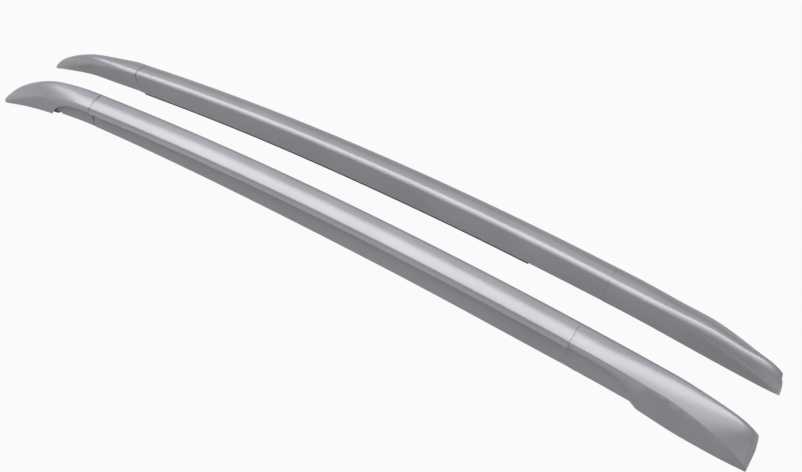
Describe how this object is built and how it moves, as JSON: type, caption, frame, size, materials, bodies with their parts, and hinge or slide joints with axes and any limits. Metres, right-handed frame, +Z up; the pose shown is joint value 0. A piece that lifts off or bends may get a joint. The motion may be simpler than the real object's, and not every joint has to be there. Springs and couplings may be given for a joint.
{
  "type": "roof side rail pair",
  "caption": "Two low arched roof side rails, mirror images, each a crowned hollow bar with an undercut outer lip between a pointed front end cap and a blunt rear end cap.",
  "frame": {"origin": "centre of the pair in plan, at the level of the lowest point that it stands on", "axes": "+X along the rails from the pointed front to the blunt rear, +Y from the left rail to the right, +Z up"},
  "size_m": [1.7504, 0.2018, 0.1526],
  "materials": {
    "silver_bar": "satin silver coat",
    "silver_cap": "satin silver paint on moulded plastic",
    "cast_alloy": "die-cast, bare",
    "black_rubber": "matte",
    "zinc_steel": "zinc plated"
  },
  "bodies": {
    "root": {"left_bar": "silver_bar", "left_base_seal": "black_rubber", "left_front_cap": "silver_cap", "left_rear_cap": "silver_cap", "left_front_bracket": "cast_alloy", "left_rear_bracket": "cast_alloy", "left_front_pad": "black_rubber", "left_rear_pad": "black_rubber", "left_bar_screws": "zinc_steel", "left_cap_screws": "zinc_steel", "left_slot_nuts": "zinc_steel", "right_bar": "silver_bar", "right_base_seal": "black_rubber", "right_front_cap": "silver_cap", "right_rear_cap": "silver_cap", "right_front_bracket": "cast_alloy", "right_rear_bracket": "cast_alloy", "right_front_pad": "black_rubber", "right_rear_pad": "black_rubber", "right_bar_screws": "zinc_steel", "right_cap_screws": "zinc_steel", "right_slot_nuts": "zinc_steel"}
  },
  "joints": []
}
